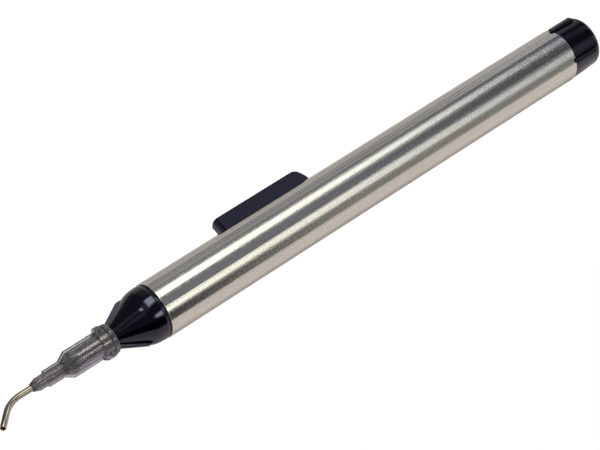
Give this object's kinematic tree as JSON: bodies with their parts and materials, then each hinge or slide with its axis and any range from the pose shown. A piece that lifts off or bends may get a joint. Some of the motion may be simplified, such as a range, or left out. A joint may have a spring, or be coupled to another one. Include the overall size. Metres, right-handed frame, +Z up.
{
  "type": "vacuum pick up pen",
  "caption": "Slim steel-barrelled suction pen with a bent blunt needle, push-on luer hub, ribbed black nose and tail and a long side button that squeezes an inner bulb.",
  "frame": {"origin": "centre of the whole pen's bounding box, on the surface that it lies on", "axes": "+X along the barrel towards the tail cap, +Z up from the surface; the button is on the +Y side, a little above level"},
  "size_m": [0.18, 0.0172, 0.0135],
  "materials": {
    "steel_tube": "drawn and brushed along its length",
    "black_plastic": "moulded, satin gloss",
    "plated_nozzle": "turned and nickel plated",
    "black_rubber": "moulded, dull",
    "smoke_plastic": "moulded, smoky and see-through",
    "needle_steel": "drawn, bright"
  },
  "bodies": {
    "pen": {"barrel": "steel_tube", "nose_cone": "black_plastic", "luer_nozzle": "plated_nozzle", "squeeze_bulb": "black_rubber", "bulb_cradle": "black_plastic", "tail_cap": "black_plastic"},
    "button": {"push_button": "black_plastic"},
    "needle": {"needle_hub": "smoke_plastic", "needle_tube": "needle_steel"}
  },
  "joints": [
    {"name": "button_press", "type": "slide", "parent": "pen", "child": "button", "axis": [0, -0.9937, -0.1124], "range_m": [0, 0.0022], "stiffness_N_per_m": 1500, "deforming": ["squeeze_bulb"]},
    {"name": "needle_aim", "type": "hinge", "parent": "pen", "child": "needle", "pos_m": [-0.05911, -0.00188, 0.00675], "axis": [1, 0, 0], "continuous": true}
  ]
}
